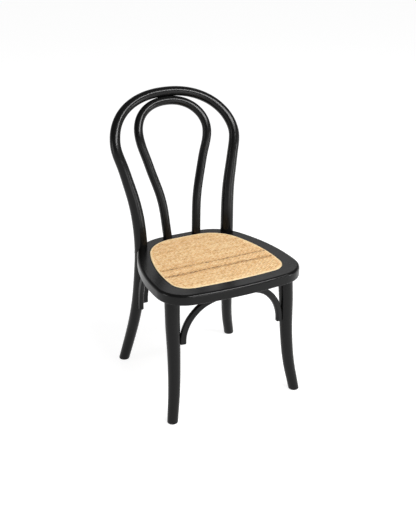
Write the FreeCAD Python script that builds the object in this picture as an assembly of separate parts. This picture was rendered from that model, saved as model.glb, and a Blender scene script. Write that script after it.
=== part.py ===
import FreeCAD, Part
import math
import os

# A bentwood side chair in millimetres, +Z up, front towards -Y, mirror plane at X = 0.
# The pieces are drawn with Y = 0 at the middle of the seat. The last step moves them so that
# the origin lies on the floor under the middle of the whole chair.

vector = FreeCAD.Vector
upward = vector(0, 0, 1)

# Seat frame: plan outline from four large arcs and four rounded corners
seatHeight = 431.5
seatThickness = 32.0
frontReach = 212.5
frontBowRadius = 1240.0
rearReach = 225.0
rearBowRadius = 2000.0
sideReach = 234.7
sideBowRadius = 570.0
sideWidestY = -92.0
frontCornerRadius = 90.0
rearCornerRadius = 133.0
seatTopRound = 8.0
seatLowerRound = 3.0

# Opening for the panel: it lies a rail's width inside the outline and has its own bows and corners
frontRailWidth = 46.0
sideRailWidth = 48.3
rearRailWidth = 34.0
openingFrontBow = 1400.0
openingRearBow = 1800.0
openingSideBow = 500.0
openingWidestY = -66.0
openingFrontCorner = 58.0
openingRearCorner = 117.0
openingEdgeRound = 1.2
ledgeWidth = 16.0

# Joints of the seat frame
mitreAngle = 37.0
rearJointX = 96.0
frameDowelDiameter = 8.0
frameDowelLength = 32.0
mitreDowelOffset = 27.0
rearDowelSpacing = 17.0

# Seat panel: plywood core, woven mat and reed border, laid in the rabbet
panelGap = 0.8
coreThickness = 5.0
matThickness = 2.0
borderWidth = 5.0
borderRise = 0.6
borderRound = 1.0

# Outer hoop: one bent rod that makes the back and both rear legs. Its place at the seat is given
# from the seat's outline, and its splay and lean are distances from that place at each height.
hoopSeatInsetX = 81.0
hoopSeatInsetY = 41.0
hoopTopHeight = 877.5
hoopWidestHeight = 742.0
hoopArchPower = 2.15
hoopSplay = [(0, 47.3), (100, 27.2), (200, 13.5), (320, 3.9), (440, 0.0), (560, 9.1), (680, 35.7),
             (hoopWidestHeight, 50.3)]
hoopLean = [(0, 61.8), (90, 44.3), (180, 24.2), (300, 7.8), (450, 0.0), (600, 19.7), (750, 57.5),
            (hoopTopHeight, 141.0)]
hoopRadii = [(0, 16.9), (220, 18.9), (450, 20.7), (700, 17.2), (hoopTopHeight, 15.2)]

# Inner hoop: a second bent rod, standing on the rear rail and hung under the top of the outer one
innerFootX = 50.5
innerFootInsetY = 21.0
innerWidestHeight = 765.0
innerArchPower = 2.12
innerSplay = [(seatHeight, 0.0), (560, 12.9), (670, 42.9), (innerWidestHeight, 66.5)]
innerLean = [(seatHeight, 0.0), (560, 17.0), (660, 38.0), (innerWidestHeight, 58.0)]
innerFootRadius = 14.4
innerTopRadius = 14.1
innerHangAngle = 23.0
innerFlatDepth = 0.8

# Front legs: turned and slightly bent outwards at the foot, placed from the seat's outline
frontLegInsetX = 44.2
frontLegInsetY = 83.5
frontLegSplay = [(0, 23.9), (100, 9.2), (200, 3.3), (320, 2.5), (400, 0.0)]
frontLegReach = [(0, 43.9), (100, 26.3), (200, 15.0), (320, 6.5), (400, 0.0)]
frontLegRadii = [(0, 16.4), (100, 18.3), (200, 19.6), (320, 22.0), (400, 23.2)]
tenonDiameter = 24.0
tenonLength = 18.0
tenonEndGap = 1.0
footRound = 2.5

# Curved brackets: one bent strip between a leg and a rail. Each ends a little past its rail screw,
# which is placed from the rail's outer face, or from the inner hoop's foot at the rear.
bracketWidth = 15.0
bracketThickness = 20.0
bracketRound = 5.0
bracketEndRound = 3.0
bracketRun = 6.0
bracketSeating = 1.5
bracketScrewInset = 15.0
frontBracketDrop = 153.0
frontBracketScrewX = 34.0
frontBracketScrewInset = 49.0
sideBracketDrop = 187.0
sideBracketScrewY = 88.0
sideBracketScrewInset = 47.0
rearBracketDrop = 180.0
rearBracketScrewFromFoot = 17.5
rearBracketScrewInset = 24.0

# Fasteners and small parts
boltDiameter = 8.0
boltPlanAngle = 35.0
boltHeadDiameter = 15.0
boltHeadHeight = 4.0
boltBeyondNut = 5.0
washerDiameter = 18.0
washerThickness = 1.5
washerSink = 2.2
washerBore = 8.4
nutDiameter = 12.0
nutLength = 20.0
nutInset = 19.0
screwDiameter = 4.0
screwHeadDiameter = 8.0
screwHeadHeight = 2.4
screwTipLength = 3.0
bracketScrewLength = 32.0
hoopScrewLength = 40.0
hoopScrewSpacing = 44.0
hoopScrewSink = 0.5
innerDowelDiameter = 10.0
innerDowelLength = 40.0
innerDowelInRail = 20.0
panelScrewBite = 3.5
frontPanelScrewX = 110.0
rearPanelScrewX = 30.0
glideThickness = 3.0
glideDiameter = 22.0
glideRound = 1.0
pinDiameter = 2.5
pinLength = 14.0
pinHeadDepth = 1.5

# Steps of the lofts and curves, and blocks for trimming that reach past every piece
hoopLegSections = 15
hoopArchSections = 8
innerLegSections = 9
frontLegSections = 10
bracketTurnStep = 15
trimSpan = 2000.0
trimDepth = 200.0
mitreSpan = 400.0

seatUnderside = seatHeight - seatThickness
panelBase = seatHeight - coreThickness - matThickness
frameMiddle = (panelBase + seatUnderside) / 2
hoopSeatX = sideReach - hoopSeatInsetX
hoopSeatY = rearReach - hoopSeatInsetY
innerFootY = rearReach - innerFootInsetY
frontLegX = sideReach - frontLegInsetX
frontLegY = frontLegInsetY - frontReach

# Each outline: reach and bow of the front, of the rear and of a side, and where a side is widest
seatEdges = ((frontReach, frontBowRadius), (rearReach, rearBowRadius),
             (sideReach, sideBowRadius, sideWidestY))
openingEdges = ((frontReach - frontRailWidth, openingFrontBow), (rearReach - rearRailWidth, openingRearBow),
                (sideReach - sideRailWidth, openingSideBow, openingWidestY))


# Value at height z on a smooth curve through (height, value) stations, straight beyond its ends
def smoothValue(stations, z, endSlope=None):
    heights = [station[0] for station in stations]
    values = [station[1] for station in stations]
    last = len(stations) - 1
    secants = [(values[i + 1] - values[i]) / (heights[i + 1] - heights[i]) for i in range(last)]
    slopes = [secants[0]]
    for i in range(1, last):
        below = heights[i] - heights[i - 1]
        above = heights[i + 1] - heights[i]
        slopes.append((secants[i - 1] * above + secants[i] * below) / (below + above))
    slopes.append(secants[-1] if endSlope is None else endSlope)
    if z <= heights[0]:
        return values[0] + slopes[0] * (z - heights[0])
    if z >= heights[-1]:
        return values[-1] + slopes[-1] * (z - heights[-1])
    i = max(k for k in range(last) if heights[k] <= z)
    step = heights[i + 1] - heights[i]
    t = (z - heights[i]) / step
    start = (2 * t**3 - 3 * t**2 + 1) * values[i] + (t**3 - 2 * t**2 + t) * step * slopes[i]
    end = (3 * t**2 - 2 * t**3) * values[i + 1] + (t**3 - t**2) * step * slopes[i + 1]
    return start + end


# Round tapered rod through the points: circles square to the path, lofted into one solid
def bentRod(points, radii, steady):
    sections = []
    for i, point in enumerate(points):
        ahead = points[min(i + 1, len(points) - 1)]
        behind = points[max(i - 1, 0)]
        along = (ahead - behind).normalize()
        across = steady - along * steady.dot(along)
        turn = FreeCAD.Rotation(across, along.cross(across), along, "ZXY")
        circle = Part.makeCircle(radii[i])
        circle.Placement = FreeCAD.Placement(point, turn)
        sections.append(Part.Wire([circle]))
    return Part.makeLoft(sections, True, False)


# Points of one hoop from the left foot over the top to the right foot: legs, then half a superellipse
def hoopPath(atSeat, splay, lean, topHeight, power, footHeight, legSections):
    widestHeight = splay[-1][0]
    widest = atSeat.x + splay[-1][1]
    half = []
    for i in range(legSections):
        z = footHeight + (widestHeight - footHeight) * i / legSections
        half.append(vector(-atSeat.x - smoothValue(splay, z, 0.0), atSeat.y + smoothValue(lean, z), z))
    for i in range(hoopArchSections + 1):
        angle = math.pi / 2 * i / hoopArchSections
        x = widest * max(math.cos(angle), 0.0) ** (2 / power)
        z = widestHeight + (topHeight - widestHeight) * math.sin(angle) ** (2 / power)
        half.append(vector(-x, atSeat.y + smoothValue(lean, z), z))
    mirrored = [vector(-p.x, p.y, p.z) for p in reversed(half[:-1])]
    return half + mirrored


def hoopCentre(z, side):
    x = hoopSeatX + smoothValue(hoopSplay, z, 0.0)
    return vector(side * x, hoopSeatY + smoothValue(hoopLean, z), z)


def frontLegCentre(z, side):
    x = frontLegX + smoothValue(frontLegSplay, z)
    return vector(side * x, frontLegY - smoothValue(frontLegReach, z), z)


# Block over the whole plan, below a height or above it
def trimBlock(low):
    return Part.makeBox(trimSpan, trimSpan, trimDepth, vector(-trimSpan / 2, -trimSpan / 2, low))


# Round the lower edge of a foot that ends in a flat face at the glide
def roundedFoot(rod, floorHeight, radius):
    trimmed = rod.cut(trimBlock(floorHeight - trimDepth))
    rims = []
    for face in trimmed.Faces:
        if abs(face.CenterOfMass.z - floorHeight) < 1e-3 and face.BoundBox.ZLength < 1e-3:
            rims += face.OuterWire.Edges
    return trimmed.makeFillet(radius, rims)


# Plan of the seat or its opening: the overlap of four discs, brought inwards, with rounded corners
def seatPlan(edges, inset, frontCorner, rearCorner, low, high):
    front, rear, side = edges
    tall = high - low
    block = Part.makeCylinder(front[1] - inset, tall, vector(0, front[1] - front[0], low))
    block = block.common(Part.makeCylinder(rear[1] - inset, tall, vector(0, rear[0] - rear[1], low)))
    for sign in (-1, 1):
        sideCentre = vector(sign * (side[0] - side[1]), side[2], low)
        block = block.common(Part.makeCylinder(side[1] - inset, tall, sideCentre))
    for inFront, radius in ((True, frontCorner), (False, rearCorner)):
        corners = [e for e in block.Edges if isUpright(e, tall) and (e.CenterOfMass.y < 0) == inFront
                   and abs(e.CenterOfMass.x) > 1]
        block = block.makeFillet(radius - inset, corners)
    return block


def isUpright(edge, tall):
    box = edge.BoundBox
    return abs(box.ZLength - tall) < 1e-3 and box.XLength < 1e-3 and box.YLength < 1e-3


# Edges of the flat face at this height
def edgesAt(shape, height):
    return [e for e in shape.Edges if e.BoundBox.ZLength < 1e-3 and abs(e.CenterOfMass.z - height) < 1e-3]


def openingPlan(inset, low, high):
    return seatPlan(openingEdges, inset, openingFrontCorner, openingRearCorner, low, high)


# The whole frame before it is parted into four rails
def seatRing():
    ring = seatPlan(seatEdges, 0, frontCornerRadius, rearCornerRadius, seatUnderside, seatHeight)
    ring = ring.makeFillet(seatTopRound, edgesAt(ring, seatHeight))
    ring = ring.makeFillet(seatLowerRound, edgesAt(ring, seatUnderside))
    rabbet = openingPlan(0, panelBase, seatHeight)
    through = openingPlan(ledgeWidth, seatUnderside, panelBase)
    opened = ring.cut(rabbet).cut(through)
    inner = [e for e in edgesAt(opened, seatHeight) if rabbet.distToShape(e)[0] < 1e-3]
    return opened.makeFillet(openingEdgeRound, inner)


# Unit vector along the mitre of a front corner, pointing out of the seat
def mitreDirection(side):
    angle = math.radians(mitreAngle)
    return vector(side * math.sin(angle), -math.cos(angle), 0)


def prismOver(corners, low, high):
    wire = Part.makePolygon([vector(x, y, low) for x, y in corners + corners[:1]])
    return Part.Face(wire).extrude(vector(0, 0, high - low))


def screw(tip, direction, length):
    shank = screwDiameter / 2
    head = screwHeadDiameter / 2
    tall = length
    outline = [(0, 0), (shank, screwTipLength), (shank, tall - screwHeadHeight), (head, tall), (0, tall)]
    wire = Part.makePolygon([vector(x, 0, z) for x, z in outline + outline[:1]])
    solid = Part.Face(wire).revolve(vector(0, 0, 0), upward, 360)
    solid.Placement = FreeCAD.Placement(tip, FreeCAD.Rotation(upward, direction * -1))
    return solid


def rodBetween(start, direction, length, diameter):
    return Part.makeCylinder(diameter / 2, length, start, direction)


# Unit vector on plan from the leg to the rail screw of a bracket
def bracketDirection(legAxis, railPoint):
    return vector(railPoint.x - legAxis.x, railPoint.y - legAxis.y, 0).normalize()


# Strip bent through a quarter turn, from beside the leg to flat under the rail
def bracket(legAxis, legRadius, railPoint):
    inwards = bracketDirection(legAxis, railPoint)
    half = bracketThickness / 2
    toe = legAxis + inwards * (legRadius + half - bracketSeating)
    end = railPoint - upward * half + inwards * bracketScrewInset
    rise = end.z - toe.z - bracketRun
    out = (end - toe).dot(inwards) - bracketRun
    centre = toe + upward * bracketRun + inwards * out
    turn = [centre - inwards * out * math.cos(math.radians(a)) + upward * rise * math.sin(math.radians(a))
            for a in range(0, 91, bracketTurnStep)]
    curve = Part.BSplineCurve()
    curve.interpolate(Points=turn, InitialTangent=upward, FinalTangent=inwards)
    firstRun = Part.LineSegment(toe, turn[0]).toShape()
    lastRun = Part.LineSegment(turn[-1], turn[-1] + inwards * bracketRun).toShape()
    profile = stripProfile(toe, inwards)
    sweep = Part.BRepOffsetAPI.MakePipeShell(Part.Wire([firstRun, curve.toShape(), lastRun]))
    sweep.setBiNormalMode(upward.cross(inwards))
    sweep.add(profile)
    sweep.build()
    sweep.makeSolid()
    strip = sweep.shape()
    ends = [face for face in strip.Faces if len(face.Edges) == len(profile.Edges)]
    return strip.makeFillet(bracketEndRound, [edge for face in ends for edge in face.Edges])


# Cross-section of a bracket: a rectangle with rounded corners, drawn flat at its toe
def stripProfile(base, inwards):
    corner = vector(-bracketThickness / 2, -bracketWidth / 2, 0)
    plate = Part.makeBox(bracketThickness, bracketWidth, 1, corner)
    rounded = plate.makeFillet(bracketRound, [e for e in plate.Edges if isUpright(e, 1)])
    flat = [f for f in rounded.Faces if f.BoundBox.ZLength < 1e-3 and f.CenterOfMass.z < 1e-3][0]
    wire = flat.OuterWire
    wire.Placement = FreeCAD.Placement(base, FreeCAD.Rotation(vector(1, 0, 0), inwards))
    return wire


# Outer hoop with both rear legs
def backHoop():
    path = hoopPath(vector(hoopSeatX, hoopSeatY, 0), hoopSplay, hoopLean, hoopTopHeight, hoopArchPower,
                    -glideThickness, hoopLegSections)
    radii = [smoothValue(hoopRadii, p.z) for p in path]
    return roundedFoot(bentRod(path, radii, vector(0, 1, 0)), glideThickness, footRound)


# Centre of the inner hoop's top: it hangs against the underside of the outer hoop
def innerTop():
    reach = hoopRadii[-1][1] + innerTopRadius - innerFlatDepth
    lean = math.radians(innerHangAngle)
    outerTop = hoopCentre(hoopTopHeight, 1)
    return vector(0, outerTop.y - reach * math.sin(lean), hoopTopHeight - reach * math.cos(lean))


def innerHoop(outer):
    top = innerTop()
    lean = innerLean + [(top.z, top.y - innerFootY)]
    path = hoopPath(vector(innerFootX, innerFootY, 0), innerSplay, lean, top.z, innerArchPower, seatHeight,
                    innerLegSections)
    radii = [smoothValue([(seatHeight, innerFootRadius), (top.z, innerTopRadius)], p.z) for p in path]
    path[0] = path[0] - upward * innerFootRadius
    path[-1] = path[-1] - upward * innerFootRadius
    rod = bentRod(path, radii, vector(0, 1, 0))
    return rod.cut(trimBlock(seatHeight - trimDepth)).cut(outer)


# Turned leg with a round tenon on its upper end
def frontLeg(side):
    tall = seatUnderside + glideThickness
    heights = [tall * i / frontLegSections - glideThickness for i in range(frontLegSections + 1)]
    points = [frontLegCentre(z, side) for z in heights]
    rod = bentRod(points, [smoothValue(frontLegRadii, z) for z in heights], vector(0, 1, 0))
    body = roundedFoot(rod.cut(trimBlock(seatUnderside)), glideThickness, footRound)
    top = frontLegCentre(seatUnderside, side)
    tenon = rodBetween(top - upward * tenonLength, upward, 2 * tenonLength, tenonDiameter)
    return body.fuse(tenon).removeSplitter()


# Holes in the frame for the front legs' tenons, a little deeper than the tenons
def tenonHole(side):
    return rodBetween(frontLegCentre(seatUnderside, side), upward, tenonLength + tenonEndGap, tenonDiameter)


def frameDowels():
    dowels = []
    for side in (-1, 1):
        out = mitreDirection(side)
        along = vector(-out.y, out.x, 0)
        corner = frontLegCentre(seatUnderside, side)
        middle = vector(corner.x, corner.y, frameMiddle) + out * mitreDowelOffset
        start = middle - along * (frameDowelLength / 2)
        dowels.append(rodBetween(start, along, frameDowelLength, frameDowelDiameter))
        for shift in (-rearDowelSpacing / 2, rearDowelSpacing / 2):
            y = rearReach - (rearRailWidth + ledgeWidth) / 2 + shift
            start = vector(side * rearJointX - frameDowelLength / 2, y, frameMiddle)
            dowels.append(rodBetween(start, vector(1, 0, 0), frameDowelLength, frameDowelDiameter))
    return dowels


# Part the ring along the two front mitres and the two rear joints
def seatRails(ring):
    inner = []
    outer = []
    for side in (-1, 1):
        corner = frontLegCentre(seatUnderside, side)
        out = mitreDirection(side)
        inner.append((corner.x - out.x * mitreSpan / 4, corner.y - out.y * mitreSpan / 4))
        outer.append((corner.x + out.x * mitreSpan, corner.y + out.y * mitreSpan))
    wedge = prismOver([inner[0], inner[1], outer[1], outer[0]], seatUnderside, seatHeight)
    rearBlock = Part.makeBox(2 * rearJointX, mitreSpan, seatThickness, vector(-rearJointX, 0, seatUnderside))
    sides = ring.cut(wedge).cut(rearBlock).Solids
    left, right = sorted(sides, key=lambda solid: solid.CenterOfMass.x)
    return {"seat_front_rail": ring.common(wedge), "seat_rear_rail": ring.common(rearBlock),
            "seat_left_rail": left, "seat_right_rail": right}


# Seat panel: core, mat and a reed border that closes the mat's edge
def seatPanel():
    core = openingPlan(panelGap, panelBase, panelBase + coreThickness)
    borderBase = panelBase + coreThickness
    border = openingPlan(panelGap, borderBase, seatHeight + borderRise)
    border = border.cut(openingPlan(panelGap + borderWidth, borderBase, seatHeight + borderRise))
    border = border.makeFillet(borderRound, edgesAt(border, seatHeight + borderRise))
    mat = openingPlan(panelGap + borderWidth, borderBase, seatHeight)
    return core, mat, border


# Direction of a hoop bolt, from behind the rear leg into the corner of the seat
def boltDirection(side):
    angle = math.radians(boltPlanAngle)
    return vector(-side * math.sin(angle), -math.cos(angle), 0)


# Bolt, washer and barrel nut of one rear leg, with the recess for the washer and the bolt's hole
def hoopBoltSet(side):
    z = seatUnderside + nutLength / 2
    direction = boltDirection(side)
    middle = hoopCentre(z, side)
    radius = smoothValue(hoopRadii, z)
    seat = middle - direction * (radius - washerSink)
    nutCentre = middle + direction * (radius + nutInset)
    face = seat - direction * washerThickness
    length = (nutCentre - face).Length + nutDiameter / 2 + boltBeyondNut
    recess = rodBetween(seat - direction * radius, direction, radius, washerDiameter)
    washer = rodBetween(seat, direction * -1, washerThickness, washerDiameter)
    washer = washer.cut(rodBetween(seat, direction * -1, washerThickness, washerBore))
    ball = boltHeadDiameter**2 / (8 * boltHeadHeight) + boltHeadHeight / 2
    dome = Part.makeSphere(ball, face + direction * (ball - boltHeadHeight))
    headEnd = face - direction * boltHeadHeight
    head = dome.common(rodBetween(headEnd, direction, boltHeadHeight, washerDiameter))
    hole = rodBetween(face, direction, length, boltDiameter)
    bolt = head.fuse(hole).removeSplitter()
    nut = rodBetween(vector(nutCentre.x, nutCentre.y, seatUnderside), upward, nutLength, nutDiameter)
    return bolt, washer, nut, recess, hole


# The two screws of one bracket: level into the leg, and upright into the rail
def bracketScrews(legAxis, legRadius, railPoint):
    inwards = bracketDirection(legAxis, railPoint)
    face = legAxis + inwards * (legRadius + bracketThickness - bracketSeating) + upward * bracketScrewInset
    legScrew = screw(face - inwards * bracketScrewLength, inwards * -1, bracketScrewLength)
    head = railPoint - upward * bracketThickness
    railScrew = screw(head + upward * bracketScrewLength, upward, bracketScrewLength)
    return legScrew, railScrew


# Screws through the inner hoop's top into the outer hoop
def hoopScrews():
    lean = math.radians(innerHangAngle)
    drive = vector(0, math.sin(lean), math.cos(lean))
    screws = []
    for side in (-1, 1):
        x = side * hoopScrewSpacing / 2
        rise = (abs(x) / (innerFootX + innerSplay[-1][1])) ** innerArchPower
        top = innerTop()
        z = innerWidestHeight + (top.z - innerWidestHeight) * (1 - rise) ** (1 / innerArchPower)
        start = vector(x, top.y, z) - drive * (innerTopRadius - hoopScrewSink)
        screws.append(screw(start + drive * hoopScrewLength, drive, hoopScrewLength))
    return screws


def innerDowels():
    ends = [vector(side * innerFootX, innerFootY, seatHeight - innerDowelInRail) for side in (-1, 1)]
    return [rodBetween(end, upward, innerDowelLength, innerDowelDiameter) for end in ends]


# Reach of a bowed edge from the seat's middle, brought inwards, at a distance along the edge
def bowReach(edge, inset, along):
    return edge[0] - edge[1] + math.sqrt((edge[1] - inset)**2 - along**2)


# Screws up through the middle of the ledge into the panel core
def panelScrews():
    length = panelBase - seatUnderside + panelScrewBite
    half = ledgeWidth / 2
    front, rear, side = openingEdges
    frontY = -bowReach(front, half, frontPanelScrewX)
    rearY = bowReach(rear, half, rearPanelScrewX)
    sideX = bowReach(side, half, -openingWidestY)
    places = [(sign * x, y) for sign in (-1, 1)
              for x, y in ((frontPanelScrewX, frontY), (rearPanelScrewX, rearY), (sideX, 0))]
    return [screw(vector(x, y, seatUnderside + length), upward, length) for x, y in places]


def glidesAndPins():
    glides = []
    pins = []
    for side in (-1, 1):
        for foot in (frontLegCentre(glideThickness, side), hoopCentre(glideThickness, side)):
            disc = rodBetween(vector(foot.x, foot.y, 0), upward, glideThickness, glideDiameter)
            disc = disc.makeFillet(glideRound, edgesAt(disc, 0))
            head = vector(foot.x, foot.y, glideThickness - pinHeadDepth)
            pin = rodBetween(head, upward, pinLength, pinDiameter)
            glides.append(disc.cut(pin))
            pins.append(pin)
    return glides, pins


# For each bracket: the leg's axis and radius at its toe, and its screw's place under the rail
def bracketPlaces():
    front, rear, side = seatEdges
    frontY = -bowReach(front, frontBracketScrewInset, frontBracketScrewX)
    rearX = innerFootX - rearBracketScrewFromFoot
    rearY = bowReach(rear, rearBracketScrewInset, rearX)
    sideX = bowReach(side, sideBracketScrewInset, sideBracketScrewY - sideWidestY)
    frontToe = seatUnderside - frontBracketDrop
    sideToe = seatUnderside - sideBracketDrop
    rearToe = seatUnderside - rearBracketDrop
    places = {}
    for sign, word in ((-1, "left"), (1, "right")):
        places["front_" + word] = (frontLegCentre(frontToe, sign), smoothValue(frontLegRadii, frontToe),
                                   vector(sign * frontBracketScrewX, frontY, seatUnderside))
        places["side_" + word] = (hoopCentre(sideToe, sign), smoothValue(hoopRadii, sideToe),
                                  vector(sign * sideX, sideBracketScrewY, seatUnderside))
        places["rear_" + word] = (hoopCentre(rearToe, sign), smoothValue(hoopRadii, rearToe),
                                  vector(sign * rearX, rearY, seatUnderside))
    return places


def cutAll(shape, tools):
    for tool in tools:
        if shape.BoundBox.intersect(tool.BoundBox):
            shape = shape.cut(tool)
    return shape


# Every node by name, each as a list of its solids
def buildChair():
    outer = backHoop()
    inner = innerHoop(outer)
    legs = {"front_leg_left": frontLeg(-1), "front_leg_right": frontLeg(1)}
    brackets = {}
    legScrews = []
    railScrews = []
    for name, place in bracketPlaces().items():
        supports = list(legs.values()) if name.startswith("front") else [outer]
        brackets["bracket_" + name] = cutAll(bracket(*place), supports)
        legScrew, railScrew = bracketScrews(*place)
        legScrews.append(legScrew)
        railScrews.append(railScrew)

    boltSets = [hoopBoltSet(side) for side in (-1, 1)]
    bolts, washers, nuts, recesses, boltHoles = (list(group) for group in zip(*boltSets))
    topScrews = hoopScrews()
    dowels = innerDowels()
    upScrews = panelScrews()
    glides, pins = glidesAndPins()
    joints = frameDowels()

    # The frame is housed round the rear legs before the holes are made
    ring = seatRing().cut(outer)
    tenonHoles = [tenonHole(side) for side in (-1, 1)]
    frameTools = joints + dowels + upScrews + railScrews + boltHoles + nuts + tenonHoles
    rails = {name: cutAll(rail, frameTools) for name, rail in seatRails(ring).items()}
    core, mat, border = seatPanel()

    nodes = {"back_hoop": [cutAll(outer, recesses + boltHoles + topScrews + legScrews + pins)],
             "inner_hoop": [cutAll(inner, topScrews + dowels)]}
    for name, leg in legs.items():
        nodes[name] = [cutAll(leg, legScrews + pins)]
    for name, rail in rails.items():
        nodes[name] = [rail]
    for name, strip in brackets.items():
        nodes[name] = [cutAll(strip, legScrews + railScrews)]
    nodes["seat_panel"] = [cutAll(core, upScrews)]
    nodes["cane_mat"] = [mat]
    nodes["cane_border"] = [border]
    nodes["frame_dowels"] = joints
    nodes["inner_hoop_dowels"] = dowels
    nodes["inner_hoop_screws"] = topScrews
    nodes["hoop_bolts"] = bolts
    nodes["hoop_washers"] = washers
    nodes["hoop_nuts"] = [nut.cut(hole) for nut, hole in zip(nuts, boltHoles)]
    nodes["bracket_leg_screws"] = legScrews
    nodes["bracket_rail_screws"] = railScrews
    nodes["panel_screws"] = upScrews
    nodes["foot_glides"] = glides
    nodes["glide_pins"] = pins
    return nodes


# The chair reaches from the seat's front edge to the back of the hoop's top
middleY = (hoopSeatY + hoopLean[-1][1] + hoopRadii[-1][1] - frontReach) / 2

os.makedirs("parts", exist_ok=True)
for name, solids in buildChair().items():
    shape = solids[0] if len(solids) == 1 else Part.makeCompound(solids)
    shape.translate(vector(0, -middleY, 0))
    shape.exportStep("parts/" + name + ".step")
    print(name, len(shape.Solids), "solids,", round(shape.Volume / 1000, 2), "cm3, valid", shape.isValid())
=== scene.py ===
import math
import bmesh
import bpy
from mathutils import Matrix, Vector
from mathutils.bvhtree import BVHTree


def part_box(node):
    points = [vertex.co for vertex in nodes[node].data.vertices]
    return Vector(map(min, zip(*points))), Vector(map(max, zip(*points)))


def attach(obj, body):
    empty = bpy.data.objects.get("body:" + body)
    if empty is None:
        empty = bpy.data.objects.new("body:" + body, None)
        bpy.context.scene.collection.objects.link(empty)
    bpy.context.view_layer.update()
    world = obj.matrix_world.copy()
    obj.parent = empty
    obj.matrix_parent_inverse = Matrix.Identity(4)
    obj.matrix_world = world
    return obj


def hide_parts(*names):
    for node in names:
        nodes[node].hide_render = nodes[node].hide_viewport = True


# A bentwood side chair in satin black lacquer with a seat of close-woven natural rattan.
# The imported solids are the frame. The weave, the screws and the bent rods' finish are added here.
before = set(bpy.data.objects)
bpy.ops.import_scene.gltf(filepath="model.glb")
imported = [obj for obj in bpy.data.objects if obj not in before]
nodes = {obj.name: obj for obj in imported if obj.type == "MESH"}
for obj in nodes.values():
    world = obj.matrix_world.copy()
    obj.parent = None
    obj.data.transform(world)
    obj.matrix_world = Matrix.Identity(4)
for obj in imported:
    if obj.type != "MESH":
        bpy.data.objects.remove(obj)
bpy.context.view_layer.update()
scene = bpy.context.scene
scene.view_settings.view_transform = "Standard"
print("frame loaded:", len(nodes), "nodes")


# One node with its settings, its plain input values and its links
def addNode(tree, kind, inputs=None, **settings):
    node = tree.nodes.new(kind)
    for name, value in settings.items():
        setattr(node, name, value)
    for name, value in (inputs or {}).items():
        if isinstance(value, bpy.types.NodeSocket):
            tree.links.new(value, node.inputs[name])
        else:
            node.inputs[name].default_value = value
    return node


# sRGB hex to the linear colour that the shaders take
def linearColour(hexCode):
    parts = [int(hexCode[i:i + 2], 16) / 255 for i in (1, 3, 5)]
    return tuple(c / 12.92 if c <= 0.04045 else ((c + 0.055) / 1.055) ** 2.4 for c in parts) + (1.0,)


def millimetres(value):
    return value / 1000


def newMaterial(name):
    material = bpy.data.materials.new(name)
    material.use_nodes = True
    tree = material.node_tree
    shader = tree.nodes["Principled BSDF"]
    return material, tree, shader


# Satin black lacquer sprayed over open-pored beech. The film is nearly flat, so the eye gets long soft
# streaks of light, and close up the beech's short pores and fibres just show through it.
lacquerLook = {
    "filmColour": "#0a0a0a",
    "grainColour": "#131211",
    "roughness": (0.22, 0.27),
    "specular": 0.2,
    "poreLength": 4.0,      # mm, beech pores and rays telegraph as short dashes
    "poreWidth": 0.35,      # mm, drawn coarser than life (0.1 mm), or it would not show
    "poreRange": (0.56, 0.72),  # of the noise, where a pore starts and where it is full
    "poreDepth": 0.02,      # mm
    "poreStrength": 0.02,   # kept low, or the long streaks of light turn speckled
    "waveSize": 60.0,       # mm, slow unevenness of a hand-sanded rod
    "waveDepth": 0.6,       # mm
    "waveStrength": 0.05,
}


def blackLacquer(name, grainAxis, look=lacquerLook):
    material, tree, shader = newMaterial(name)
    place = addNode(tree, "ShaderNodeTexCoord").outputs["Object"]
    # A pore fills about half of a cell of the noise
    fine = [500 / look["poreWidth"]] * 3
    fine[grainAxis] = 500 / look["poreLength"]
    fibres = addNode(tree, "ShaderNodeMapping", {"Vector": place, "Scale": fine})
    pores = addNode(tree, "ShaderNodeTexNoise", {"Vector": fibres.outputs[0], "Scale": 1.0, "Detail": 3.0,
                                                  "Roughness": 0.6})
    slow = addNode(tree, "ShaderNodeTexNoise", {"Vector": place, "Scale": 1000 / look["waveSize"],
                                                "Detail": 1.0})
    start, full = look["poreRange"]
    dashes = addNode(tree, "ShaderNodeMapRange", {"Value": pores.outputs[0], "From Min": start,
                                                  "From Max": full})
    colour = addNode(tree, "ShaderNodeMix", {"Factor": dashes.outputs[0]}, data_type="RGBA")
    colour.inputs["A"].default_value = linearColour(look["filmColour"])
    colour.inputs["B"].default_value = linearColour(look["grainColour"])
    mixed = addNode(tree, "ShaderNodeMath", {0: pores.outputs[0], 1: slow.outputs[0]}, operation="ADD")
    low, high = look["roughness"]
    rough = addNode(tree, "ShaderNodeMapRange", {"Value": mixed.outputs[0], "From Min": 0.75,
                                                 "From Max": 1.25, "To Min": low, "To Max": high})
    dents = addNode(tree, "ShaderNodeBump", {"Height": dashes.outputs[0], "Strength": look["poreStrength"],
                                             "Distance": millimetres(look["poreDepth"])}, invert=True)
    waves = addNode(tree, "ShaderNodeBump", {"Height": slow.outputs[0], "Strength": look["waveStrength"],
                                             "Distance": millimetres(look["waveDepth"]),
                                             "Normal": dents.outputs[0]})
    tree.links.new(colour.outputs["Result"], shader.inputs["Base Color"])
    tree.links.new(rough.outputs[0], shader.inputs["Roughness"])
    tree.links.new(waves.outputs[0], shader.inputs["Normal"])
    shader.inputs["Specular IOR Level"].default_value = look["specular"]
    return material


lacquerUpright = blackLacquer("satinBlackLacquerUpright", 2)
lacquerAcross = blackLacquer("satinBlackLacquerAcross", 0)
lacquerAlong = blackLacquer("satinBlackLacquerAlong", 1)
print("lacquer made")

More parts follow.
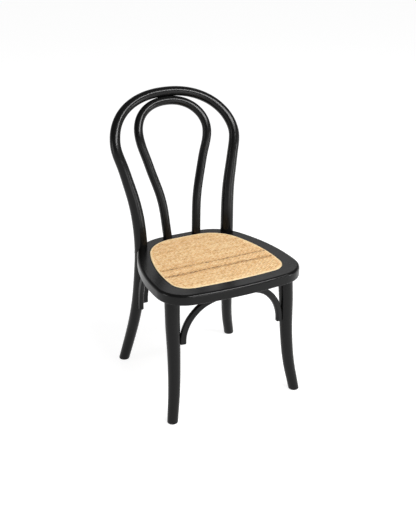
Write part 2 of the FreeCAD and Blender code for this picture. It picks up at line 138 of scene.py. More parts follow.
# Natural rattan skin, split into flat strands and left unvarnished: pale, slightly glossy on the skin side,
# each strand with its own tone and fine fibres along it
rattanLook = {
    "paleColour": "#F4DFB6",
    "bodyColour": "#E6BF88",
    "tanColour": "#C8965B",
    "darkColour": "#8A5B2F",
    "bodyAt": 0.35,         # tones at which these colours are full, from 0 for pale to 1 for dark
    "tanAt": 0.7,
    "roughness": 0.52,
    "specular": 0.35,
    "fibreWidth": 0.3,      # mm across the strand
    "fibreLength": 9.0,     # mm along it
    "fibreDepth": 0.1,      # mm
    "fibreTone": 0.3,       # how far the fibres change the tone
    "toneAndSheenWidth": 7.0,      # mm, lighter and darker patches along each strand, partly its own tone and partly painted sheen of each float
    "toneAndSheenLength": 9.0,     # mm
    "toneAndSheenStrength": 1.7,       # how far the patches of tone and painted sheen change it, and the shift that keeps its mean
    "toneAndSheenShift": -0.87,
}


def wovenRattan(name, grainAxis, look=rattanLook):
    material, tree, shader = newMaterial(name)
    place = addNode(tree, "ShaderNodeTexCoord").outputs["Object"]
    stretch = [1000 / look["fibreWidth"]] * 3
    stretch[grainAxis] = 1000 / look["fibreLength"]
    fibres = addNode(tree, "ShaderNodeMapping", {"Vector": place, "Scale": stretch})
    grain = addNode(tree, "ShaderNodeTexNoise", {"Vector": fibres.outputs[0], "Scale": 1.0, "Detail": 2.0})
    spread = [1000 / look["toneAndSheenWidth"]] * 3
    spread[grainAxis] = 1000 / look["toneAndSheenLength"]
    patch = addNode(tree, "ShaderNodeMapping", {"Vector": place, "Scale": spread})
    # Lighter and darker patches along the strands: partly the strands' own tone, partly painted sheen
    # standing in for the gloss on each curved float
    toneAndSheenNoise = addNode(tree, "ShaderNodeTexNoise", {"Vector": patch.outputs[0], "Scale": 1.0, "Detail": 2.0})
    tone = addNode(tree, "ShaderNodeAttribute", attribute_name="strandTone", attribute_type="GEOMETRY")
    toneAndSheenPatches = addNode(tree, "ShaderNodeMath", {0: toneAndSheenNoise.outputs[0], 1: look["toneAndSheenStrength"],
                                               2: look["toneAndSheenShift"]}, operation="MULTIPLY_ADD")
    toneWithSheen = addNode(tree, "ShaderNodeMath", {0: tone.outputs["Fac"], 1: toneAndSheenPatches.outputs[0]},
                      operation="ADD")
    fine = addNode(tree, "ShaderNodeMath", {0: grain.outputs[0], 1: look["fibreTone"],
                                            2: -look["fibreTone"] / 2}, operation="MULTIPLY_ADD")
    total = addNode(tree, "ShaderNodeMath", {0: toneWithSheen.outputs[0], 1: fine.outputs[0]}, operation="ADD")
    ramp = addNode(tree, "ShaderNodeValToRGB", {"Fac": total.outputs[0]})
    stops = ramp.color_ramp.elements
    stops[0].position, stops[0].color = 0.0, linearColour(look["paleColour"])
    stops[1].position, stops[1].color = 1.0, linearColour(look["darkColour"])
    stops.new(look["bodyAt"]).color = linearColour(look["bodyColour"])
    stops.new(look["tanAt"]).color = linearColour(look["tanColour"])
    bump = addNode(tree, "ShaderNodeBump", {"Height": grain.outputs[0], "Strength": 0.5,
                                            "Distance": millimetres(look["fibreDepth"])})
    tree.links.new(ramp.outputs[0], shader.inputs["Base Color"])
    tree.links.new(bump.outputs[0], shader.inputs["Normal"])
    shader.inputs["Roughness"].default_value = look["roughness"]
    shader.inputs["Specular IOR Level"].default_value = look["specular"]
    return material


rattanWarp = wovenRattan("naturalRattanWarp", 1)
rattanWeft = wovenRattan("naturalRattanWeft", 0)

# The weave: flat strands, two over and two under in both directions, that fill the mat's outline
weave = {
    "pitch": 3.6,            # mm between strands
    "width": 3.25,           # mm
    "thickness": 0.8,        # mm
    "lift": 0.7,             # mm up or down at a crossing
    "underBorder": 3.5,      # mm that a strand's end runs in under the border
    "sway": 0.12,            # mm that a strand may lie off its place, either way
    "darkRows": (-83.45, -127.95, 41.0),  # mm, rows of darker strands, as such mats have
    "darkness": (0.55, 0.62, 0.25),       # how much darker each of them is
    "rowReach": 11.0,        # mm over which such a row fades into the rest
    "pairSpread": 0.22,      # how far the pairs differ in tone, and then the strands
    "ownSpread": 0.26,
    "warpTone": -0.1,        # the strands from front to rear are the paler ones
    "weftTone": 0.12,
    "seed": 7,
}


rowWords = ("One", "Two", "Three")


# Tree for one direction of strands. "Across" is the direction in which the strands are counted.
def weaveTree(name, runAlongX, material):
    tree = bpy.data.node_groups.new(name, "GeometryNodeTree")
    face = tree.interface
    face.new_socket("Geometry", in_out="OUTPUT", socket_type="NodeSocketGeometry")
    face.new_socket("Outline", in_out="INPUT", socket_type="NodeSocketObject")
    for label in ("Count", "Steps", "Seed"):
        face.new_socket(label, in_out="INPUT", socket_type="NodeSocketInt")
    for label in ("Pitch", "Width", "Thickness", "Lift", "Sway", "Reach", "Height", "Middle", "Under Border",
                  "Row Reach", "Pair Spread", "Own Spread", "Base Tone",
                  *("Dark Row " + word for word in rowWords),
                  *("Darkness " + word for word in rowWords)):
        face.new_socket(label, in_out="INPUT", socket_type="NodeSocketFloat")
    given = tree.nodes.new("NodeGroupInput").outputs

    def maths(operation, a, b=0.0, c=0.0):
        return addNode(tree, "ShaderNodeMath", {0: a, 1: b, 2: c}, operation=operation).outputs[0]

    def vector(x, y, z):
        return addNode(tree, "ShaderNodeCombineXYZ", {0: x, 1: y, 2: z}).outputs[0]

    # A random number between two others, the same each time for the same strand or pair
    def drawn(low, high, number):
        return addNode(tree, "FunctionNodeRandomValue", {2: low, 3: high, "ID": number,
                                                         "Seed": given["Seed"]}).outputs[1]

    # Points across the mat, one for each strand, with its number and tone
    start = maths("MULTIPLY", maths("MULTIPLY", given["Pitch"], given["Count"]), -0.5)
    number = addNode(tree, "GeometryNodeInputIndex").outputs[0]
    sway = drawn(maths("MULTIPLY", given["Sway"], -1.0), given["Sway"], number)
    across = maths("ADD", maths("MULTIPLY_ADD", number, given["Pitch"], start), sway)
    pair = maths("FLOOR", maths("DIVIDE", number, 2.0))
    pairTone = maths("MULTIPLY", maths("POWER", drawn(0.0, 1.0, pair), 2.0), given["Pair Spread"])
    ownTone = maths("MULTIPLY", drawn(0.0, 1.0, number), given["Own Spread"])
    tone = maths("ADD", maths("ADD", pairTone, ownTone), given["Base Tone"])
    points = addNode(tree, "GeometryNodeMeshLine", {"Count": given["Count"]}).outputs[0]
    if runAlongX:
        placed = vector(0.0, maths("ADD", across, given["Middle"]), given["Height"])
        pairPlace = maths("MULTIPLY_ADD", maths("MULTIPLY_ADD", pair, 2.0, 0.5), given["Pitch"], start)
        pairPlace = maths("ADD", pairPlace, given["Middle"])
        for word in rowWords:
            away = maths("ABSOLUTE", maths("SUBTRACT", pairPlace, given["Dark Row " + word]))
            near = maths("MAXIMUM", maths("SUBTRACT", 1.0, maths("DIVIDE", away, given["Row Reach"])), 0.0)
            tone = maths("MULTIPLY_ADD", near, given["Darkness " + word], tone)
    else:
        placed = vector(across, given["Middle"], given["Height"])
    points = addNode(tree, "GeometryNodeSetPosition", {"Geometry": points, "Position": placed}).outputs[0]
    for label, value in (("strandTone", tone), ("strandPair", pair)):
        stored = {"Geometry": points, "Name": label, "Value": value}
        points = addNode(tree, "GeometryNodeStoreNamedAttribute", stored, data_type="FLOAT",
                         domain="POINT").outputs[0]

    # One straight strand with a point at each crossing, set on every point
    half = maths("MULTIPLY", given["Reach"], 0.5)
    back = maths("MULTIPLY", half, -1.0)
    low, high = (vector(end, 0.0, 0.0) if runAlongX else vector(0.0, end, 0.0) for end in (back, half))
    strand = addNode(tree, "GeometryNodeCurvePrimitiveLine", {"Start": low, "End": high}).outputs[0]
    strand = addNode(tree, "GeometryNodeResampleCurve", {"Curve": strand, "Count": given["Steps"]}).outputs[0]
    strands = addNode(tree, "GeometryNodeInstanceOnPoints", {"Points": points, "Instance": strand}).outputs[0]
    strands = addNode(tree, "GeometryNodeRealizeInstances", {"Geometry": strands}).outputs[0]

    # Over two, under two
    step = addNode(tree, "GeometryNodeSplineParameter").outputs["Index"]
    pairHere = addNode(tree, "GeometryNodeInputNamedAttribute", {"Name": "strandPair"},
                       data_type="FLOAT").outputs[0]
    crossing = maths("FLOOR", maths("DIVIDE", step, 2.0))
    odd = maths("MODULO", maths("ADD", crossing, pairHere), 2.0)
    sign = maths("MULTIPLY_ADD", odd, 2.0, -1.0)
    rise = maths("MULTIPLY", maths("MULTIPLY", sign, given["Lift"]), -1.0 if runAlongX else 1.0)
    strands = addNode(tree, "GeometryNodeSetPosition", {"Geometry": strands,
                                                        "Offset": vector(0.0, 0.0, rise)}).outputs[0]

    # Keep what lies over the mat, and a little more, which the border hides
    mat = addNode(tree, "GeometryNodeObjectInfo", {"Object": given["Outline"]}).outputs["Geometry"]
    near = addNode(tree, "GeometryNodeProximity", {"Geometry": mat},
                   target_element="FACES").outputs["Distance"]
    outside = addNode(tree, "FunctionNodeCompare", {"A": near, "B": given["Under Border"]},
                      operation="GREATER_THAN").outputs[0]
    strands = addNode(tree, "GeometryNodeDeleteGeometry", {"Geometry": strands, "Selection": outside},
                      domain="POINT").outputs[0]

    # A flat strand with rounded edges
    ring = addNode(tree, "GeometryNodeCurvePrimitiveCircle", {"Resolution": 6, "Radius": 1.0}).outputs[0]
    flat = vector(maths("MULTIPLY", given["Thickness"], 0.5), maths("MULTIPLY", given["Width"], 0.5), 1.0)
    ring = addNode(tree, "GeometryNodeTransform", {"Geometry": ring, "Scale": flat}).outputs[0]
    strands = addNode(tree, "GeometryNodeSetCurveNormal", {"Curve": strands}, mode="Z_UP").outputs[0]
    solid = addNode(tree, "GeometryNodeCurveToMesh", {"Curve": strands, "Profile Curve": ring,
                                                      "Fill Caps": True}).outputs[0]
    solid = addNode(tree, "GeometryNodeSetShadeSmooth", {"Geometry": solid}).outputs[0]
    solid = addNode(tree, "GeometryNodeRealizeInstances", {"Geometry": solid}).outputs[0]
    solid = addNode(tree, "GeometryNodeSetMaterial", {"Geometry": solid, "Material": material}).outputs[0]
    addNode(tree, "NodeGroupOutput", {"Geometry": solid})
    return tree


# Runs a Geometry Nodes tree on a start mesh, or an empty one, and keeps the plain result as one mesh object
def grow(name, tree, values, start=None):
    carrier = bpy.data.objects.new(name, start or bpy.data.meshes.new(name))
    scene.collection.objects.link(carrier)
    modifier = carrier.modifiers.new(name, "NODES")
    modifier.node_group = tree
    for item in tree.interface.items_tree:
        if item.item_type == "SOCKET" and item.in_out == "INPUT" and item.name in values:
            modifier[item.identifier] = values[item.name]
    view = bpy.context.evaluated_depsgraph_get()
    made = bpy.data.meshes.new_from_object(carrier.evaluated_get(view), preserve_all_data_layers=True,
                                           depsgraph=view)
    carrier.modifiers.clear()
    carrier.data = made
    carrier.name = name
    print(name, len(made.polygons), "faces")
    return carrier


def makeWeave(sizes):
    low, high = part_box("cane_mat")
    pitch = sizes["pitch"]
    for name, runAlongX, material in (("rattanWarp", False, rattanWarp), ("rattanWeft", True, rattanWeft)):
        wide, deep = (1000 * (high - low)[i] + 2 * sizes["underBorder"] for i in (0, 1))
        across, reach = (deep, wide) if runAlongX else (wide, deep)
        count = int(across / pitch) + 1
        steps = int(reach / pitch) + 1
        values = {"Outline": nodes["cane_mat"], "Count": count, "Steps": steps, "Seed": sizes["seed"],
                  "Pitch": millimetres(pitch), "Width": millimetres(sizes["width"]),
                  "Thickness": millimetres(sizes["thickness"]), "Lift": millimetres(sizes["lift"]),
                  "Sway": millimetres(sizes["sway"]), "Reach": millimetres((steps - 1) * pitch),
                  "Height": high.z - millimetres(sizes["thickness"]), "Middle": (low.y + high.y) / 2,
                  "Under Border": millimetres(sizes["underBorder"]),
                  "Row Reach": millimetres(sizes["rowReach"]),
                  "Pair Spread": sizes["pairSpread"], "Own Spread": sizes["ownSpread"],
                  "Base Tone": sizes["weftTone"] if runAlongX else sizes["warpTone"]}
        for word, row, darkness in zip(rowWords, sizes["darkRows"], sizes["darkness"]):
            values["Dark Row " + word] = millimetres(row)
            values["Darkness " + word] = darkness
        strands = grow(name, weaveTree(name, runAlongX, material), values)
        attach(strands, "root")
        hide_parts("cane_mat")


makeWeave(weave)
print("weave done")

# Finishes of the smaller pieces. Each has two colours that a noise mixes: flecks to the metre, where in the
# noise the colours lie, and the roughness, the same all over or from the dark flecks to the pale ones
finishes = {
    # Round reed, the palest part of the seat, which changes slowly along its length
    "naturalReedBorder": {"colours": ("#EBCF9E", "#F7DFB2"), "flecks": 60.0, "detail": 3.0,
                          "range": (0.3, 0.7), "roughness": (0.42, 0.42), "metallic": 0.0},
    # Fluted dowels of bare beech, with its 2 mm flecks
    "bareBeech": {"colours": ("#B98A5F", "#D3A87C"), "flecks": 500.0, "detail": 3.0,
                  "range": (0.35, 0.65), "roughness": (0.65, 0.65), "metallic": 0.0},
    # Thin oxide or zinc over turned steel, which varies a little from spot to spot
    "blackOxideSteel": {"colours": ("#1E1E20", "#2E2E31"), "flecks": 900.0, "detail": 3.0,
                        "range": (0.3, 0.7), "roughness": (0.36, 0.48), "metallic": 1.0},
    "zincPlatedSteel": {"colours": ("#A9ACB0", "#C6C9CC"), "flecks": 900.0, "detail": 3.0,
                        "range": (0.3, 0.7), "roughness": (0.28, 0.4), "metallic": 1.0},
    # Moulded black nylon, scuffed matt underneath
    "mouldedNylon": {"colours": ("#141414", "#242424"), "flecks": 700.0, "detail": 4.0,
                     "range": (0.4, 0.75), "roughness": (0.45, 0.65), "metallic": 0.0},
    # A grey line along the joint's fine ridge, broken every few millimetres: a painted highlight of the light
    # that the ridge catches
    "paintedHighlightOnJoint": {"colours": ("#131211", "#343435"), "flecks": 250.0, "detail": 2.0,
                             "range": (0.35, 0.6), "roughness": (0.35, 0.35), "metallic": 0.0},
}


def fleckedFinish(name):
    look = finishes[name]
    material, tree, shader = newMaterial(name)
    place = addNode(tree, "ShaderNodeTexCoord").outputs["Object"]
    noise = addNode(tree, "ShaderNodeTexNoise", {"Vector": place, "Scale": look["flecks"],
                                                 "Detail": look["detail"]})
    ramp = addNode(tree, "ShaderNodeValToRGB", {"Fac": noise.outputs[0]})
    for stop, position, hexCode in zip(ramp.color_ramp.elements, look["range"], look["colours"]):
        stop.position, stop.color = position, linearColour(hexCode)
    tree.links.new(ramp.outputs[0], shader.inputs["Base Color"])
    low, high = look["roughness"]
    if low == high:
        shader.inputs["Roughness"].default_value = low
    else:
        rough = addNode(tree, "ShaderNodeMapRange", {"Value": noise.outputs[0], "To Min": low,
                                                     "To Max": high})
        tree.links.new(rough.outputs[0], shader.inputs["Roughness"])
    shader.inputs["Metallic"].default_value = look["metallic"]
    return material


def dress(material, *names):
    for name in names:
        mesh = nodes[name].data
        mesh.materials.clear()
        mesh.materials.append(material)


# Rotary-cut birch face of the plywood under the cane: pale, with soft wide flames along the sheet
birchLook = {
    "colours": ("#C9A57A", "#E3C79E"),
    "range": (0.45, 0.85),
    "flames": (40.0, 5.0, 40.0),      # to the metre: 25 mm wide and 200 mm long
    "distortion": 0.8,
    "pores": (1400.0, 90.0, 1400.0),  # to the metre: 0.7 mm wide and 11 mm long
    "poreTone": 0.35,
    "roughness": 0.6,
}


def birchPlywood(look):
    material, tree, shader = newMaterial("birchPlywood")
    place = addNode(tree, "ShaderNodeTexCoord").outputs["Object"]
    flames = addNode(tree, "ShaderNodeMapping", {"Vector": place, "Scale": look["flames"]})
    wide = addNode(tree, "ShaderNodeTexNoise", {"Vector": flames.outputs[0], "Scale": 1.0, "Detail": 4.0,
                                                "Distortion": look["distortion"]})
    pores = addNode(tree, "ShaderNodeMapping", {"Vector": place, "Scale": look["pores"]})
    fine = addNode(tree, "ShaderNodeTexNoise", {"Vector": pores.outputs[0], "Scale": 1.0, "Detail": 2.0})
    tone = addNode(tree, "ShaderNodeMath", {0: fine.outputs[0], 1: look["poreTone"], 2: wide.outputs[0]},
                   operation="MULTIPLY_ADD")
    ramp = addNode(tree, "ShaderNodeValToRGB", {"Fac": tone.outputs[0]})
    for stop, position, hexCode in zip(ramp.color_ramp.elements, look["range"], look["colours"]):
        stop.position, stop.color = position, linearColour(hexCode)
    tree.links.new(ramp.outputs[0], shader.inputs["Base Color"])
    shader.inputs["Roughness"].default_value = look["roughness"]
    return material


dress(fleckedFinish("naturalReedBorder"), "cane_border")
dress(birchPlywood(birchLook), "seat_panel")
dress(fleckedFinish("bareBeech"), "frame_dowels", "inner_hoop_dowels")
dress(fleckedFinish("zincPlatedSteel"), "hoop_bolts", "hoop_washers", "hoop_nuts", "glide_pins")
dress(fleckedFinish("mouldedNylon"), "foot_glides")
dress(lacquerUpright, "back_hoop", "inner_hoop", "front_leg_left", "front_leg_right",
      "bracket_front_left", "bracket_front_right", "bracket_side_left", "bracket_side_right",
      "bracket_rear_left", "bracket_rear_right")
dress(lacquerAcross, "seat_front_rail", "seat_rear_rail")
dress(lacquerAlong, "seat_left_rail", "seat_right_rail")
print("nodes dressed")

# The right front mitre shows through the lacquer as a fine ridge, from the cane over the rounding and down,
# in a lighter grey that is a painted highlight
hairline = {
    "corner": (190.5, -192.85),  # mm, where a mitre crosses the middle of a front leg
    "angle": 37.0,               # degrees from straight ahead
    "sides": (1,),               # the right corner only; the lacquer hides the left one
    "width": 0.6,                # mm, drawn wider than life (0.1 mm), or it would not show
    "proud": 0.06,               # mm
    "depth": 0.3,                # mm
    "topRound": 8.0,             # mm, the seat's upper rounding
    "lowEnd": 403.5,             # mm above the floor
    "steps": 8,                  # along the flat part, and again round the rounding
    "fromCane": 1.5,             # mm from the opening's edge to the line's start
    "probeAside": 0.8,           # mm beside the mitre, where rays find the rail's inner and outer edge
    "probeDepths": (3.0, 15.0),  # mm below the seat's top
    "probeFrom": 200.0,          # mm
}


def makeHairline(look):
    rail = nodes["seat_front_rail"].data
    surface = BVHTree.FromPolygons([v.co for v in rail.vertices], [f.vertices for f in rail.polygons])
    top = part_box("seat_front_rail")[1].z
    radius = millimetres(look["topRound"])
    angle = math.radians(look["angle"])
    shape = bmesh.new()
    for side in look["sides"]:
        corner = Vector((side * millimetres(look["corner"][0]), millimetres(look["corner"][1]), 0))
        out = Vector((side * math.sin(angle), -math.cos(angle), 0))
        across = out.cross(Vector((0, 0, 1)))
        beside = corner + across * side * millimetres(look["probeAside"])
        away = out * millimetres(look["probeFrom"])
        upper, lower = (Vector((0, 0, top - millimetres(depth))) for depth in look["probeDepths"])
        inner = surface.ray_cast(beside + upper - away, out)[0]
        outer = surface.ray_cast(beside + lower + away, -out)[0]
        near = (inner - corner).dot(out) + millimetres(look["fromCane"])
        far = (outer - corner).dot(out)
        line = [(corner + out * (near + (far - radius - near) * i / look["steps"]) + Vector((0, 0, top)),
                 Vector((0, 0, 1))) for i in range(look["steps"])]
        for i in range(look["steps"] + 1):
            turn = math.pi / 2 * i / look["steps"]
            facing = out * math.sin(turn) + Vector((0, 0, math.cos(turn)))
            centre = corner + out * (far - radius) + Vector((0, 0, top - radius))
            line.append((centre + facing * radius, facing))
        line.append((corner + out * far + Vector((0, 0, millimetres(look["lowEnd"]))), out))
        half = across * millimetres(look["width"]) / 2
        rings = []
        for point, facing in line:
            high, low = facing * millimetres(look["proud"]), facing * millimetres(-look["depth"])
            corners = (high - half, high + half, low + half, low - half)
            rings.append([shape.verts.new(point + offset) for offset in corners])
        for a, b in zip(rings, rings[1:]):
            for i in range(4):
                shape.faces.new((a[i], a[(i + 1) % 4], b[(i + 1) % 4], b[i]))
        shape.faces.new(rings[0])
        shape.faces.new(rings[-1])
    bmesh.ops.recalc_face_normals(shape, faces=shape.faces)
    mesh = bpy.data.meshes.new("mitreHairline")
    shape.to_mesh(mesh)
    shape.free()
    # Its lighter grey is a painted highlight of the light that the ridge catches
    mesh.materials.append(fleckedFinish("paintedHighlightOnJoint"))
    lines = bpy.data.objects.new("mitreHairline", mesh)
    scene.collection.objects.link(lines)
    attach(lines, "root")


makeHairline(hairline)
print("mitre hairline made")

# Countersunk screws with a cross recess, set where the plain ones stand
screwLook = {
    "headDiameter": 8.0,   # mm
    "headHeight": 2.4,     # mm
    "shankDiameter": 4.0,  # mm
    "tipLength": 3.0,      # mm
    "recessLength": 4.4,   # mm across the cross
    "recessWidth": 1.1,    # mm
    "recessDepth": 1.5,    # mm
    "endReach": 4.0,       # mm, the end of a plain screw with more points within this is its head
    "rimDepth": 1.2,       # mm, points this near the head's face are its rim
    "seed": 3,
}


# Head centre, driving direction and length of each screw in a node
def screwPlaces(nodeName, look):
    endReach, rimDepth = millimetres(look["endReach"]), millimetres(look["rimDepth"])
    shape = bmesh.new()
    shape.from_mesh(nodes[nodeName].data)
    bmesh.ops.remove_doubles(shape, verts=shape.verts, dist=1e-6)
    waiting = set(shape.verts)
    places = []
    while waiting:
        island, edge = set(), [waiting.pop()]
        while edge:
            vertex = edge.pop()
            island.add(vertex)
            near = {e.other_vert(vertex) for e in vertex.link_edges} & waiting
            waiting -= near
            edge.extend(near)
        points = [v.co.copy() for v in island]
        middle = sum(points, Vector()) / len(points)
        far = max(points, key=lambda p: (p - middle).length)
        tip = max(points, key=lambda p: (p - far).length)
        tipPoints, farPoints = (sum((p - end).length < endReach for p in points) for end in (tip, far))
        if tipPoints > farPoints:
            tip, far = far, tip
        rim = [p for p in points if abs((p - far).dot((far - tip).normalized())) < rimDepth]
        head = sum(rim, Vector()) / len(rim)
        places.append((head, (tip - head).normalized(), (tip - head).length))
    shape.free()
    return places


def screwTree(material):
    tree = bpy.data.node_groups.new("crossScrew", "GeometryNodeTree")
    face = tree.interface
    face.new_socket("Geometry", in_out="INPUT", socket_type="NodeSocketGeometry")
    face.new_socket("Geometry", in_out="OUTPUT", socket_type="NodeSocketGeometry")
    for label in ("Head Diameter", "Head Height", "Shank Diameter", "Length", "Tip Length", "Recess Length",
                  "Recess Width", "Recess Depth"):
        face.new_socket(label, in_out="INPUT", socket_type="NodeSocketFloat")
    face.new_socket("Seed", in_out="INPUT", socket_type="NodeSocketInt")
    given = tree.nodes.new("NodeGroupInput").outputs

    def maths(operation, a, b=0.0, c=0.0):
        return addNode(tree, "ShaderNodeMath", {0: a, 1: b, 2: c}, operation=operation).outputs[0]

    # Head, shank and tip are three cones in a row up +Z, with the head's face at zero
    headRadius = maths("MULTIPLY", given["Head Diameter"], 0.5)
    shankRadius = maths("MULTIPLY", given["Shank Diameter"], 0.5)
    shankEnd = maths("SUBTRACT", given["Length"], given["Tip Length"])
    shankLength = maths("SUBTRACT", shankEnd, given["Head Height"])
    tipRadius = maths("MULTIPLY", shankRadius, 0.1)
    pieces = []
    for low, tall, base, top in ((0.0, given["Head Height"], headRadius, shankRadius),
                                 (given["Head Height"], shankLength, shankRadius, shankRadius),
                                 (shankEnd, given["Tip Length"], shankRadius, tipRadius)):
        cone = addNode(tree, "GeometryNodeMeshCone", {"Vertices": 20, "Radius Bottom": base,
                                                      "Radius Top": top, "Depth": tall}).outputs["Mesh"]
        shift = addNode(tree, "ShaderNodeCombineXYZ", {"Z": low}).outputs[0]
        moved = addNode(tree, "GeometryNodeTransform", {"Geometry": cone, "Translation": shift})
        pieces.append(moved.outputs[0])
    body = addNode(tree, "GeometryNodeMeshBoolean", operation="UNION", solver="EXACT")
    for piece in pieces:
        tree.links.new(piece, body.inputs[1])
    # Two crossed bars cut the recess, half of each above the face
    bars = []
    along, narrow = given["Recess Length"], given["Recess Width"]
    for wide, deep in ((along, narrow), (narrow, along)):
        depth = maths("MULTIPLY", given["Recess Depth"], 2.0)
        size = addNode(tree, "ShaderNodeCombineXYZ", {"X": wide, "Y": deep, "Z": depth}).outputs[0]
        bars.append(addNode(tree, "GeometryNodeMeshCube", {"Size": size}).outputs["Mesh"])
    cut = addNode(tree, "GeometryNodeMeshBoolean", {0: body.outputs[0]}, operation="DIFFERENCE",
                  solver="EXACT")
    for bar in bars:
        tree.links.new(bar, cut.inputs[1])
    # One on each point, driven along its direction and turned by chance
    drive = addNode(tree, "GeometryNodeInputNamedAttribute", {"Name": "drive"},
                    data_type="FLOAT_VECTOR").outputs[0]
    aim = addNode(tree, "FunctionNodeAlignRotationToVector", {"Vector": drive}, axis="Z").outputs[0]
    spin = addNode(tree, "FunctionNodeRandomValue", {2: 0.0, 3: 3.14, "Seed": given["Seed"]}).outputs[1]
    about = addNode(tree, "ShaderNodeCombineXYZ", {"Z": spin}).outputs[0]
    turned = addNode(tree, "FunctionNodeRotateRotation", {"Rotation": aim, "Rotate By": about},
                     rotation_space="LOCAL").outputs[0]
    screws = addNode(tree, "GeometryNodeInstanceOnPoints", {"Points": given["Geometry"],
                                                            "Instance": cut.outputs[0],
                                                            "Rotation": turned}).outputs[0]
    screws = addNode(tree, "GeometryNodeRealizeInstances", {"Geometry": screws}).outputs[0]
    screws = addNode(tree, "GeometryNodeSetMaterial", {"Geometry": screws, "Material": material}).outputs[0]
    addNode(tree, "NodeGroupOutput", {"Geometry": screws})
    return tree


def makeScrews(look):
    tree = screwTree(fleckedFinish("blackOxideSteel"))
    for nodeName, pieceName in (("inner_hoop_screws", "hoopCrossScrews"),
                                ("bracket_leg_screws", "bracketLegCrossScrews"),
                                ("bracket_rail_screws", "bracketRailCrossScrews"),
                                ("panel_screws", "panelCrossScrews")):
        places = screwPlaces(nodeName, look)
        length = sum(place[2] for place in places) / len(places)
        values = {"Head Diameter": look["headDiameter"], "Head Height": look["headHeight"],
                  "Shank Diameter": look["shankDiameter"], "Length": 1000 * length,
                  "Tip Length": look["tipLength"], "Recess Length": look["recessLength"],
                  "Recess Width": look["recessWidth"], "Recess Depth": look["recessDepth"]}
        values = {label: millimetres(value) for label, value in values.items()}
        values["Seed"] = look["seed"]
        points = bpy.data.meshes.new(pieceName)
        points.from_pydata([place[0] for place in places], [], [])
        drive = points.attributes.new("drive", "FLOAT_VECTOR", "POINT")
        for i, place in enumerate(places):
            drive.data[i].vector = place[1]
        screws = grow(pieceName, tree, values, points)
        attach(screws, "root")
        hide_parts(nodeName)


makeScrews(screwLook)
print("screws made")


# The camera that was fitted to the photograph: place in metres, angles in degrees, lens and sensor in mm
cameraView = {
    "place": (-1.1884, -2.37385, 1.6219),
    "turn": -27.0528,
    "tilt": 24.7135,
    "roll": 0.3035,
    "lens": 64.385,
    "sensor": 36,
}


def makeCamera(view):
    turn, tilt, roll = (math.radians(view[key]) for key in ("turn", "tilt", "roll"))
    forward = Vector((-math.sin(turn) * math.cos(tilt), math.cos(turn) * math.cos(tilt), -math.sin(tilt)))
    right = Vector((math.cos(turn), math.sin(turn), 0))
    up = right.cross(forward)
    rightRolled = right * math.cos(roll) + up * math.sin(roll)
    upRolled = up * math.cos(roll) - right * math.sin(roll)
    data = bpy.data.cameras.new("photoCamera")
    data.sensor_width = view["sensor"]
    data.lens = view["lens"]
    camera = bpy.data.objects.new("photoCamera", data)
    scene.collection.objects.link(camera)
    facing = Matrix((rightRolled, upRolled, -forward)).transposed().to_4x4()
    camera.matrix_world = Matrix.Translation(view["place"]) @ facing
    scene.camera = camera


# Soft studio light: sizes in metres, power in watts, each lamp aimed at the seat
studio = {
    "aim": (0, 0, 0.45),
    "lamps": {
        "frontBox": {"place": (1.0, -2.3, 3.0), "size": (2.8, 0.6), "power": 150},
        "lowFrontBox": {"place": (0.6, -3.3, 0.7), "size": (1.4, 0.9), "power": 15},
        "leftBox": {"place": (-3.2, 0.2, 1.0), "size": (0.5, 1.6), "power": 16},
        "rightBox": {"place": (2.5, -2.1, 0.5), "size": (0.5, 1.0), "power": 20},
        "rearBox": {"place": (1.9, 3.4, 2.6), "size": (1.6, 1.0), "power": 5},
    },
    "worldStrength": 0.22,
    "horizon": (0.08, 0.3),  # sines of the heights between which the backdrop dims
    "floorSize": 30,
    "floorColour": "#A8A8A8",
    "floorRoughness": 0.9,
    "floorGlow": 0.86,       # what the camera sees of it beyond the lamps, so that it is nearly white
}


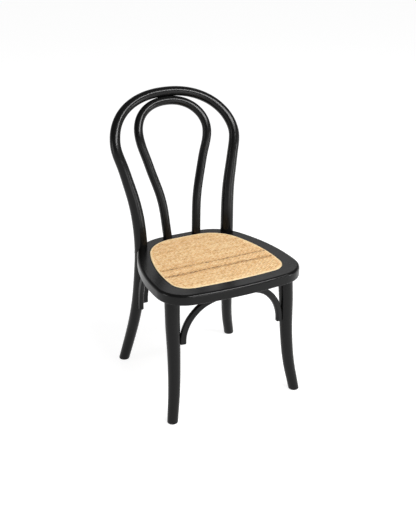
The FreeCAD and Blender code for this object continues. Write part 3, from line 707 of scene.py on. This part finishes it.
def makeStudio(plan):
    for name, lamp in plan["lamps"].items():
        data = bpy.data.lights.new(name, "AREA")
        data.shape = "RECTANGLE"
        data.size, data.size_y = lamp["size"]
        data.energy = lamp["power"]
        lampObject = bpy.data.objects.new(name, data)
        scene.collection.objects.link(lampObject)
        towards = Vector(plan["aim"]) - Vector(lamp["place"])
        lampObject.location = lamp["place"]
        lampObject.rotation_euler = towards.to_track_quat("-Z", "Y").to_euler()
    world = bpy.data.worlds.new("studioWorld")
    scene.world = world
    world.use_nodes = True
    tree = world.node_tree
    tree.nodes.clear()
    # Pale at the horizon, as a studio's backdrop is, and dimmer overhead
    direction = addNode(tree, "ShaderNodeTexCoord").outputs["Generated"]
    height = addNode(tree, "ShaderNodeSeparateXYZ", {0: direction}).outputs["Z"]
    low, high = plan["horizon"]
    level = addNode(tree, "ShaderNodeMapRange", {"Value": height, "From Min": low, "From Max": high,
                                                 "To Min": 1.0, "To Max": plan["worldStrength"]},
                    interpolation_type="SMOOTHSTEP").outputs[0]
    sky = addNode(tree, "ShaderNodeBackground", {"Color": (1, 1, 1, 1), "Strength": level})
    addNode(tree, "ShaderNodeOutputWorld", {"Surface": sky.outputs[0]})

    mesh = bpy.data.meshes.new("studioFloor")
    half = plan["floorSize"] / 2
    corners = [(-half, -half, 0), (half, -half, 0), (half, half, 0), (-half, half, 0)]
    mesh.from_pydata(corners, [], [(0, 1, 2, 3)])
    floor = bpy.data.objects.new("studioFloor", mesh)
    scene.collection.objects.link(floor)
    material, tree, shader = newMaterial("paleMattFloor")
    shader.inputs["Base Color"].default_value = linearColour(plan["floorColour"])
    shader.inputs["Roughness"].default_value = plan["floorRoughness"]
    shader.inputs["Specular IOR Level"].default_value = 0.0
    path = addNode(tree, "ShaderNodeLightPath").outputs
    seen = path["Is Camera Ray"]
    for other in ("Is Glossy Ray", "Is Transmission Ray"):
        seen = addNode(tree, "ShaderNodeMath", {0: seen, 1: path[other]}, operation="MAXIMUM").outputs[0]
    glow = addNode(tree, "ShaderNodeMath", {0: seen, 1: plan["floorGlow"]}, operation="MULTIPLY").outputs[0]
    shader.inputs["Emission Color"].default_value = (1, 1, 1, 1)
    tree.links.new(glow, shader.inputs["Emission Strength"])
    # Seen from below, the floor is clear, so that the underside can be looked at
    clear = addNode(tree, "ShaderNodeBsdfTransparent").outputs[0]
    below = addNode(tree, "ShaderNodeNewGeometry").outputs["Backfacing"]
    either = addNode(tree, "ShaderNodeMixShader", {0: below, 1: shader.outputs[0], 2: clear}).outputs[0]
    tree.links.new(either, tree.nodes["Material Output"].inputs["Surface"])
    mesh.materials.append(material)


makeCamera(cameraView)
makeStudio(studio)
print("camera and studio ready")
